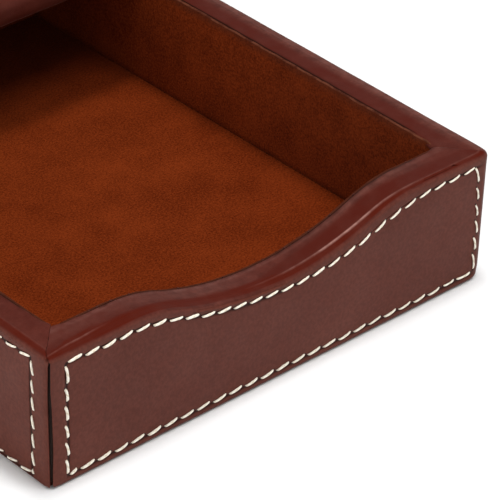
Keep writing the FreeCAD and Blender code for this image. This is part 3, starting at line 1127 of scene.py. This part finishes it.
def easeCores():
    # under the worn corner the boards of both walls are eased too
    inward = Vector((-1, 1, 0)).normalized()
    for trayName, (body, front, low) in trays.items():
        corner = Vector((trayWidth / 2, front, low + coreSizes["easedHeight"]))
        plane = {
            "plane_co": corner + inward * coreSizes["eased"],
            "plane_no": inward + Vector((0, 0, coreSizes["easedLean"])),
        }
        for side in ("front", "right"):
            node = trayName + "_" + side + "_core"
            core = link(trayName + side.capitalize() + "Board", nodes[node].data.copy())
            editAll(core, bpy.ops.mesh.bisect, use_fill=True, clear_inner=True, **plane)
            handOver(core, body, node)


easeCores()
print("boards eased")


# saddle stitches

stitchSizes = {
    "pitch": 9.45 * mm,
    "gap": 1.5 * mm,
    "radius": 0.57 * mm,
    "unevenness": (0.90, 1.10),
    "bulge": (-0.3, 0.5),
    "sides": 8,
    "cuts": 7,
    "tip": 0.50,  # how thick a stitch is where it enters the leather
    "tipReach": 0.16,
    "oval": 0.10,
    "twist": 1.5,
    "slimmer": 0.15,  # how much finer than that the thread is at the far end of the scooped front
    "stand": 0.36 * mm,  # middle of the thread above the leather
    "dive": 0.50 * mm,
    "slant": math.radians(11),
    "shake": 0.15 * mm,
    "knotShake": 0.05 * mm,
    "flat": 0.85,
    "hole": 0.50 * mm,
    "holeLong": 1.3,
    "holeWide": 0.8,
    "holeRings": ((1.0, 0.02 * mm), (0.5, 0.08 * mm)),  # share of its size, height
    "holeSides": 8,
}


def stitchPattern():
    # one stitch along X from 0 to 1, as thick as 1: a turned rod, oval and twisted like two plies
    size = stitchSizes
    bpy.ops.mesh.primitive_cylinder_add(
        vertices=size["sides"], radius=1, depth=1, rotation=(0, math.pi / 2, 0), location=(0.5, 0, 0))
    rod = openPiece("stitchPattern")
    divideEdges(lambda a, b: abs(a.x - b.x) > 0.5, size["cuts"])
    editMode(False)
    shape = readShape(rod)[0]
    run = shape.loops.layers.uv.new("run")
    runs = {}
    for vert in shape.verts:
        t = vert.co.x
        angle = math.atan2(vert.co.z, vert.co.y)
        runs[vert.index] = (t, (angle / (2 * math.pi)) % 1.0)
        t = 0.5 - 0.5 * math.cos(math.pi * t) if 0.0 < t < 1.0 else t
        taper = size["tip"] + (1 - size["tip"]) * smooth(min(t, 1 - t) / size["tipReach"])
        swell = 1 + size["oval"] * math.cos(2 * (angle - size["twist"] * math.pi * t))
        vert.co = (t, math.cos(angle) * taper * swell, math.sin(angle) * taper * swell)
    for face in shape.faces:
        for loop in face.loops:
            loop[run].uv = runs[loop.vert.index]
    writeShape(rod, shape)
    return rod


stitchRod = stitchPattern()
rodPoints = [v.co.copy() for v in stitchRod.data.vertices]
rodFaces = [tuple(p.vertices) for p in stitchRod.data.polygons]
rodRuns = [tuple(loop.uv) for loop in stitchRod.data.uv_layers["run"].data]


def newWork(name, seed):
    # the stitches and holes of one panel; x runs along it, z up, and y out of it is negative
    work = {key: [] for key in ("points", "faces", "runs", "holePoints", "holeFaces")}
    return work | {"name": name, "chance": random.Random(seed), "slim": 0.0}


def bent(a, knee, b, t):
    # point and heading of a stitch that goes from a to b by way of the knee
    point = a * (1 - t) ** 2 + knee * (2 * t * (1 - t)) + b * t * t
    heading = (knee - a) * (2 * (1 - t)) + (b - knee) * (2 * t)
    return point, heading.normalized()


def sideways(heading):
    return Vector((-heading.z, 0, heading.x))


# a dark disc that paints the shade inside an awl hole
def punchHole(work, centre, along):
    size = stitchSizes
    across = sideways(along)
    sides = size["holeSides"]
    first = len(work["holePoints"])
    for ring, lift in size["holeRings"]:
        for i in range(sides):
            angle = i * 2 * math.pi / sides
            reach = along * (math.cos(angle) * size["hole"] * size["holeLong"] * ring)
            reach += across * (math.sin(angle) * size["hole"] * size["holeWide"] * ring)
            work["holePoints"].append(centre + reach + Vector((0, -lift, 0)))
    inner = first + sides
    for i in range(sides):
        j = (i + 1) % sides
        work["holeFaces"].append((first + i, first + j, inner + j, inner + i))
    work["holeFaces"].append(tuple(range(inner, inner + sides)))


def sewStitch(work, a, b, bulge=None, shake=stitchSizes["shake"]):
    # a and b are (x, z); the bulge moves the stitch's middle sideways
    size = stitchSizes
    draw = work["chance"].uniform
    a, b = (Vector((p[0] + draw(-shake, shake), 0, p[1] + draw(-shake, shake))) for p in (a, b))
    if bulge is None:
        bulge = draw(*size["bulge"]) * mm
    knee = (a + b) / 2 + sideways((b - a).normalized()) * bulge * 2
    thick = size["radius"] * draw(*size["unevenness"]) * (1 - work["slim"] * a.x / (trayWidth / 2))
    first = len(work["points"])
    for point in rodPoints:
        place, heading = bent(a, knee, b, point.x)
        arch = 1 - (2 * point.x - 1) ** 4
        height = -size["dive"] + (size["dive"] + size["stand"]) * arch
        where = place + sideways(heading) * (point.y * thick)
        where.y = -(height + point.z * thick * size["flat"])
        work["points"].append(where)
    work["faces"] += [tuple(first + i for i in face) for face in rodFaces]
    work["runs"] += rodRuns
    for end, other in ((a, knee), (b, knee)):
        punchHole(work, end, (other - end).normalized())


def sewRow(work, path, length):
    # stitches along a path given as a function of 0 to 1, each slanted a little across the line
    size = stitchSizes
    count = max(1, round(length / size["pitch"]))
    pitch = 1.0 / count
    gap = 0.5 * pitch * size["gap"] / size["pitch"]
    for i in range(count):
        a = Vector(path(i * pitch + gap))
        b = Vector(path((i + 1) * pitch - gap))
        along = (b - a).normalized()
        side = Vector((-along[1], along[0])) * (math.tan(size["slant"]) * (b - a).length / 2)
        sewStitch(work, a - side, b + side)


def sewLine(work, start, end, spare=0.0):
    # a straight row; the spare length counts for the number of its stitches
    (x, z), (endX, endZ) = start, end
    sewRow(work, lambda t: (x + (endX - x) * t, z + (endZ - z) * t), math.dist(start, end) + spare)


def sewKnots(work, knots, bulge):
    # stitches placed one by one, given in mm
    for a, b in knots:
        sewStitch(work, [v * mm for v in a], [v * mm for v in b], bulge * mm, stitchSizes["knotShake"])


def finishWork(work, matrix, body):
    for suffix, points, faces, finish in (
        ("Stitches", work["points"], work["faces"], thread),
        ("AwlHoles", work["holePoints"], work["holeFaces"], holeDark),
    ):
        mesh = bpy.data.meshes.new(work["name"] + suffix)
        mesh.from_pydata([tuple(p) for p in points], [], faces)
        if suffix == "Stitches":
            for loop, uv in zip(mesh.uv_layers.new(name="run").data, work["runs"]):
                loop.uv = uv
        obj = link(work["name"] + suffix, mesh)
        dress(obj, finish)
        settle(obj, matrix)
        editAll(obj, bpy.ops.mesh.normals_make_consistent, inside=False)
        bpy.ops.object.shade_smooth()
        handOver(obj, body)


# stitches that turn the corners of the scooped front, in mm along it and up from its underside,
# and how far their middles bulge; then where its rows run between them
frontKnots = {
    "nearEnd": [
        ((-120.6, 61.4), (-112.4, 62.3)), ((-122.0, 60.6), (-120.7, 50.6)), ((-122.2, 49.0), (-121.0, 41.6)),
        ((-122.3, 40.1), (-121.0, 31.7)), ((-122.4, 30.2), (-120.9, 22.6)), ((-122.3, 21.3), (-120.5, 13.2)),
        ((-122.1, 12.2), (-121.1, 3.8)), ((-119.6, 2.8), (-115.8, 4.6)),
    ],
    "nearBulge": 0.45,
    "farEnd": [
        ((112.3, 60.4), (119.6, 62.0)), ((119.6, 62.0), (122.3, 52.6)), ((121.2, 50.6), (122.6, 43.1)),
        ((121.3, 41.2), (122.8, 34.0)), ((121.7, 32.5), (123.3, 24.5)), ((121.3, 23.6), (122.8, 15.6)),
        ((121.3, 14.5), (122.4, 4.8)), ((121.2, 4.4), (111.2, 4.3)), ((110.4, 4.9), (102.9, 4.1)),
    ],
    "farBulge": 0.40,
    "rimRow": (-111.6 * mm, 111.0 * mm),
    "footRow": (-114.6 * mm, 101.9 * mm),
}
leftKnots = {
    "nearEnd": [
        ((152.2, 60.5), (153.8, 52.6)), ((152.3, 50.7), (153.7, 43.4)), ((152.5, 42.0), (153.9, 34.7)),
        ((152.2, 32.4), (153.9, 25.1)), ((152.5, 22.9), (153.7, 15.2)), ((152.1, 13.2), (153.9, 5.8)),
        ((152.2, 3.9), (153.3, 1.6)),
    ],
    "nearBulge": 0.30,
    "rimEnd": 153.0 * mm,
    "footEnd": 152.6 * mm,
}


def stitchWall(name, seed, side, kind):
    half = kind["length"] / 2
    low, high = kind["foot"], wallSizes["height"] - kind["top"]
    left, right = -half + kind["ends"][0], half - kind["ends"][1]
    rimRowEnds, footRowEnds = (left, right), (left, right)
    work = newWork(name, seed)
    if side == "front":
        work["slim"] = stitchSizes["slimmer"]
        rimRowEnds, footRowEnds = frontKnots["rimRow"], frontKnots["footRow"]
        sewKnots(work, frontKnots["nearEnd"], frontKnots["nearBulge"])
        sewKnots(work, frontKnots["farEnd"], frontKnots["farBulge"])
    if side == "left":
        rimRowEnds, footRowEnds = (left, leftKnots["rimEnd"]), (left, leftKnots["footEnd"])
        sewKnots(work, leftKnots["nearEnd"], leftKnots["nearBulge"])

    def rimPath(t):
        x = rimRowEnds[0] + (rimRowEnds[1] - rimRowEnds[0]) * t
        drop = rimDrop(x) if kind["scooped"] else 0.0
        return x, high - drop + strayOf(kind, x)

    points = [Vector(rimPath(i / 200)) for i in range(201)]
    sewRow(work, rimPath, sum((b - a).length for a, b in zip(points, points[1:])))
    sewLine(work, (footRowEnds[0], low), (footRowEnds[1], low))
    if side != "front":
        sewLine(work, (left, high), (left, low))
    if side not in ("front", "left"):
        sewLine(work, (right, high), (right, low))
    return work


for trayName, (body, front, low) in trays.items():
    for number, (side, kind) in enumerate(wallKinds.items()):
        work = stitchWall(trayName + side.capitalize(), number * 7 + len(trayName), side, kind)
        finishWork(work, wallPlace(side, front, low), body)
print("walls stitched")


# raised fibres along the scooped rim's inner edge

fibreSizes = {
    "places": (-100, -93.5, -89, -81.5, -72, -44, -18, 6, 19, 33, 46, 61, 93),
    "shift": 0.5,
    "width": 1.3 * mm,
    "widths": (0.6, 1.1),
    "tip": 0.15 * mm,
    "height": 0.50 * mm,
    "heights": (0.6, 1.15),
    "root": 0.5 * mm,
    "inset": 0.75 * mm,
    "below": 0.25 * mm,
    "flat": 0.35,
    "lean": -14,
    "sway": 25,
}


def addFibres(trayName, body, matrix):
    size = fibreSizes
    chance = random.Random(len(trayName) + 40)
    made = []
    for place in size["places"]:
        x = (place + chance.uniform(-size["shift"], size["shift"])) * mm
        tall = size["height"] * chance.uniform(*size["heights"])
        z = wallSizes["height"] - rimDrop(x) - size["below"]
        bpy.ops.mesh.primitive_cone_add(
            vertices=6, radius1=size["width"], radius2=size["tip"], depth=tall + size["root"],
            location=(x, endThickness - size["inset"], z + tall / 2))
        tuft = bpy.context.object
        tuft.scale = (chance.uniform(*size["widths"]), size["flat"], 1)
        sway = chance.uniform(-size["sway"], size["sway"])
        tuft.rotation_euler = (math.radians(size["lean"]), math.radians(sway), 0)
        bpy.ops.object.transform_apply(location=True, rotation=True, scale=True)
        made.append(tuft)
    for tuft in made:
        tuft.select_set(True)
    bpy.context.view_layer.objects.active = made[0]
    bpy.ops.object.join()
    fibres = bpy.context.object
    fibres.name = trayName + "FrontFibres"
    bpy.context.scene.cursor.location = (0, 0, 0)
    bpy.ops.object.origin_set(type="ORIGIN_CURSOR")
    bpy.ops.object.shade_smooth()
    dress(fibres, fibre)
    settle(fibres, matrix)
    handOver(fibres, body)


for trayName, (body, front, low) in trays.items():
    addFibres(trayName, body, wallPlace("front", front, low))
for pattern in [*patterns.values(), stitchRod]:
    bpy.data.objects.remove(pattern)
print("fibres raised")


# the stand: top board with its rolled nose, cheeks and back panel

boardSizes = {
    "nose": 8.0 * mm,
    "edge": 3.5 * mm,
    "sideShare": 0.8,  # radius of the side edges beside that of the back edge
    "turnUnder": 20.0 * mm,
    "leather": 1.4 * mm,
    "waves": 0.16 * mm,
    "darkening": 0.6,
    "line": (0.95, 1.5 * mm, 1.5 * mm),  # painted highlight under the nose: share, height, width
    # painted light on the nose's lower part
    "glow": 0.06,
    "glowTop": (6.0 * mm, 4.0 * mm),
    "cuts": (56, 70),
    "sharpest": 50,
}


def boardCover():
    size = boardSizes
    low, high = boxOf("stand_board_cover")
    centre = (low + high) / 2
    span = high - low
    bpy.ops.mesh.primitive_cube_add(size=1, location=centre)
    cover = openPiece("boardLeather", span)
    bevelEdges(lambda a, b: bothAt(a.y, b.y, low.y) and closeTo(a.z, b.z), size["nose"], 12)
    bevelEdges(lambda a, b: bothAt(a.y, b.y, high.y) and closeTo(a.z, b.z), size["edge"], 6)
    sideRadius = size["edge"] * size["sideShare"]
    bevelEdges(lambda a, b: any(bothAt(a.x, b.x, x) for x in (low.x, high.x)), sideRadius, 5)
    # open the underside inside the turned-under margin
    cutOut(lambda c, n: n.z < -0.99 and abs(c.x - centre.x) < span.x / 4, size["turnUnder"] - size["nose"])
    divideEdges(lambda a, b: abs(a.x - b.x) > span.x / 2, size["cuts"][0])
    divideEdges(lambda a, b: abs(a.y - b.y) > span.y / 2, size["cuts"][1])
    editMode(False)
    shape, shares = readShape(cover, leatherShares)
    shape.normal_update()
    share, place, width = size["line"]
    moves = []
    for vert in shape.verts:
        nose = fall(vert.co.y, low.y + 2 * size["nose"], size["nose"])
        under = vert.co.z - low.z
        # painted shade: the nose is darker and redder, with a painted highlight and painted light along its
        # lower edge
        vert[shares["warm"]] = vert[shares["blotchedShade"]] = size["darkening"] * nose
        glow = size["glow"] * fall(under, *size["glowTop"])
        vert[shares["pale"]] = nose * (share * bump(under, place, width) + glow)
        spot = vert.co / mm
        wave = noise.noise(spot / 45) + 0.35 * noise.noise(spot / 13 + Vector((3, 1, 7)))
        moves.append(vert.normal * (0.0 if vert.is_boundary else wave * size["waves"]))
    for vert, move in zip(shape.verts, moves):
        vert.co += move
    writeShape(cover, shape)
    finishSheet(cover, size["leather"], stitchedLeather, size["sharpest"])
    handOver(cover, "stand", "stand_board_cover")


panelSizes = {
    "corner": 2.6 * mm,
    "backCorner": 0.4 * mm,
    "hem": 1.2 * mm,
    "leather": 1.5 * mm,
    "stitchSide": 6.5 * mm,
    "stitchFoot": 4.3 * mm,
    "stitchTop": 4.3 * mm,
    "stitchInset": 1.2 * mm,  # the rows start this far inside their corners
    "step": 4.0 * mm,
    "puff": 0.28 * mm,
    "puffReach": 9.0 * mm,
    "waves": 0.10 * mm,
    "groove": 0.32 * mm,
    "grooveReach": 1.25 * mm,
    "grooveShare": 0.8,
    "calmEdge": 3.0 * mm,
    "darkening": 0.6,
    "darkeningEdge": (3.0 * mm, 2.0 * mm),
    "sharpest": 50,
}


def panelCover(name, length, height, depth, corner, seed):
    # leather round a board that stands on its hem: outer face at y 0, open inside and on top
    size = panelSizes
    half = length / 2
    flat = half - corner
    side, foot, top, hem = size["stitchSide"], size["stitchFoot"], height - size["stitchTop"], size["hem"]
    bpy.ops.mesh.primitive_cube_add(size=1, location=(0, depth / 2, height / 2))
    cover = openPiece(name, (length, depth, height))
    cutOut(lambda c, n: n.y > 0.9 or n.z > 0.9)
    bevelEdges(lambda a, b: bothAt(a.y, b.y, 0) and closeTo(a.x, b.x), corner, 5)
    bevelEdges(lambda a, b: bothAt(a.z, b.z, 0) and not bothAt(a.y, b.y, depth), hem, 3)
    rows = spread(hem, height, (foot, top), size["step"])
    columns = spread(-flat, flat, (-half + side, half - side), size["step"])
    divideEdges(lambda a, b: abs(a.z - b.z) > height / 2, len(rows) - 2)
    divideEdges(lambda a, b: abs(a.x - b.x) > length / 2, len(columns) - 2)
    editMode(False)
    shape, shares = readShape(cover, leatherShares)
    for vert in shape.verts:
        x, y, z = vert.co
        if z > hem - 1e-5:
            z = rows[round((z - hem) / (height - hem) * (len(rows) - 1))]
        if abs(x) < flat + 1e-5:
            x = columns[round((x + flat) / (2 * flat) * (len(columns) - 1))]
        if closeTo(y, 0) and abs(x) < flat + 1e-5 and z > hem + 1e-5:
            inside = min(half - side - abs(x), z - foot, top - z)
            press = smooth(1 - abs(inside) / size["grooveReach"])
            lift = size["puff"] * smooth(inside / size["puffReach"])
            lift += size["waves"] * noise.noise(Vector((x, 0, z)) / mm / 38 + Vector((seed, 0, 0)))
            calm = fall(z, height, size["calmEdge"]) * fall(abs(x), flat, size["calmEdge"])
            y -= lift * calm - size["groove"] * press
            # painted shade in the stitch groove
            vert[shares["groove"]] = press * size["grooveShare"]
        # darker warm tone along the panel's edges
        edge = min(half - abs(x), z)
        vert[shares["warm"]] = size["darkening"] * fall(edge, *size["darkeningEdge"])
        vert.co = (x, y, z)
    writeShape(cover, shape)
    finishSheet(cover, size["leather"], stitchedLeather, size["sharpest"])
    return cover


def stitchPanel(name, seed, length, height):
    size = panelSizes
    inset = size["stitchInset"]
    side = length / 2 - size["stitchSide"]
    low, high = size["stitchFoot"], height - size["stitchTop"]
    work = newWork(name, seed)
    for z in (high, low):
        sewLine(work, (-side + inset, z), (side - inset, z), 2 * inset)
    for x in (-side, side):
        sewLine(work, (x, high - inset), (x, low + inset), 2 * inset)
    return work


def addPanels():
    for number, (side, turn) in enumerate((("left", -90), ("right", 90), ("back", 180))):
        node = "stand_" + side + "_cover"
        name = "stand" + side.capitalize()
        low, high = boxOf(node)
        centre = (low + high) / 2
        span = high - low
        length, depth = (span.x, span.y) if side == "back" else (span.y, span.x)
        corner = panelSizes["backCorner" if side == "back" else "corner"]
        x, y = {"left": (low.x, centre.y), "right": (high.x, centre.y), "back": (centre.x, high.y)}[side]
        matrix = turnedPlace(x, y, low.z, turn)
        cover = panelCover(name + "Leather", length, span.z, depth, corner, 20.0 + number)
        settle(cover, matrix)
        handOver(cover, "stand", node)
        finishWork(stitchPanel(name, 60 + number, length, span.z), matrix, "stand")


boardCover()
addPanels()
print("stand covered and stitched")


# floor, light and camera

studio = {
    "floor": grey(0.92),
    "floorSize": 8,
    "horizon": 0.80,
    "zenith": 0.36,
    "dark": 0.60,
    "darkSide": (0.57, 0.62, 0.55),
    # softboxes: place, power and size
    "lamps": {
        "overhead": ((0.18, -0.18, 3.0), 48.0, 0.6),
        "front": ((0.35, -1.2, 2.7), 31.0, 1.0),
        "left": ((-2.2, 0.1, 0.5), 11.0, 1.0),
    },
}


def addFloor():
    bpy.ops.mesh.primitive_plane_add(size=studio["floorSize"], location=(0, 0, 0))
    floor = bpy.context.object
    floor.name = "floor"
    finish, tree, shader = newFinish("whiteFloor")
    feed(tree, shader, {"Base Color": studio["floor"], "Roughness": 0.9, "Specular IOR Level": 0.1})
    dress(floor, finish)


def addLights():
    world = bpy.data.worlds.new("studio")
    bpy.context.scene.world = world
    world.use_nodes = True
    tree = world.node_tree
    heading = addNode(tree, "ShaderNodeTexCoord").outputs["Generated"]
    rise = addNode(tree, "ShaderNodeSeparateXYZ", {"Vector": heading}).outputs["Z"]
    sky = ramp(tree, rise, [(0.06, grey(studio["horizon"])), (0.60, grey(studio["zenith"]))])
    sides = {0: heading, 1: Vector(studio["darkSide"])}
    toward = addNode(tree, "ShaderNodeVectorMath", sides, operation="DOT_PRODUCT").outputs["Value"]
    shade = ramp(tree, toward, [(0.35, grey(1)), (0.9, grey(studio["dark"]))], "EASE")
    feed(tree, tree.nodes["Background"], {"Color": multiply(tree, sky, shade), "Strength": 1.0})
    for name, (place, power, size) in studio["lamps"].items():
        data = bpy.data.lights.new(name, "AREA")
        data.energy = power
        data.size = size
        lamp = link(name, data)
        lamp.location = place
        lamp.rotation_euler = (-Vector(place)).to_track_quat("-Z", "Y").to_euler()
        lamp.visible_glossy = False


view = {
    "place": (-0.873, -1.214, 0.894),
    "turn": 42.75,
    "tilt": 33.03,
    "roll": -1.50,
    "lens": 250.8,
    "sensor": 36,
    "farthest": 20,
}


def addCamera():
    data = bpy.data.cameras.new("camera")
    data.lens = view["lens"]
    data.sensor_width = view["sensor"]
    data.clip_end = view["farthest"]
    camera = link("camera", data)
    turn, tilt, roll = (math.radians(view[key]) for key in ("turn", "tilt", "roll"))
    ahead = Vector((math.sin(turn) * math.cos(tilt), math.cos(turn) * math.cos(tilt), -math.sin(tilt)))
    right = Vector((math.cos(turn), -math.sin(turn), 0))
    down = ahead.cross(right)
    leanRight = right * math.cos(roll) + down * math.sin(roll)
    leanDown = down * math.cos(roll) - right * math.sin(roll)
    rotation = Matrix((leanRight, -leanDown, -ahead)).transposed()
    camera.matrix_world = Matrix.Translation(view["place"]) @ rotation.to_4x4()
    bpy.context.scene.camera = camera


addFloor()
addLights()
addCamera()
bpy.context.scene.view_settings.view_transform = "Standard"
print("studio ready")
